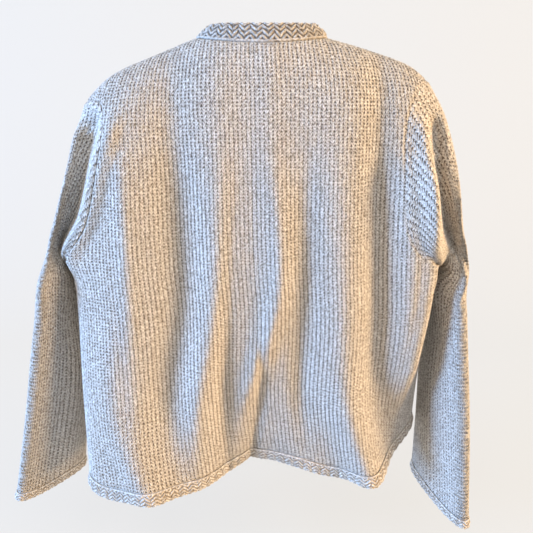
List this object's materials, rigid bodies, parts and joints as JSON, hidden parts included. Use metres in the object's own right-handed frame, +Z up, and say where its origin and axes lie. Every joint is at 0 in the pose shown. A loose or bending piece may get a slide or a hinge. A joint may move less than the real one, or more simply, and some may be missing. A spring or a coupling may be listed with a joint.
{
  "type": "cardigan",
  "caption": "Chunky knitted hip-length cardigan with long set-in sleeves, hanging filled out, with braided trims at neck, fronts, hem and cuffs.",
  "frame": {"origin": "midway between the two points where the shoulder seams meet the neck, where the garment is held", "axes": "+Z up, -Y towards the outside of the back, +Y towards the fronts, +X towards the wearer's right sleeve"},
  "size_m": [0.7033, 0.1873, 0.7057],
  "materials": {
    "knit": "chunky wool stockinette, oatmeal melange",
    "trim": "braided wool trim, oatmeal melange"
  },
  "bodies": {
    "root": {"back": "knit", "front_left": "knit", "front_right": "knit", "sleeve_left": "knit", "sleeve_right": "knit", "hem_trim": "trim", "neck_trim": "trim", "front_trim_left": "trim", "front_trim_right": "trim", "cuff_trim_left": "trim", "cuff_trim_right": "trim"}
  },
  "joints": []
}
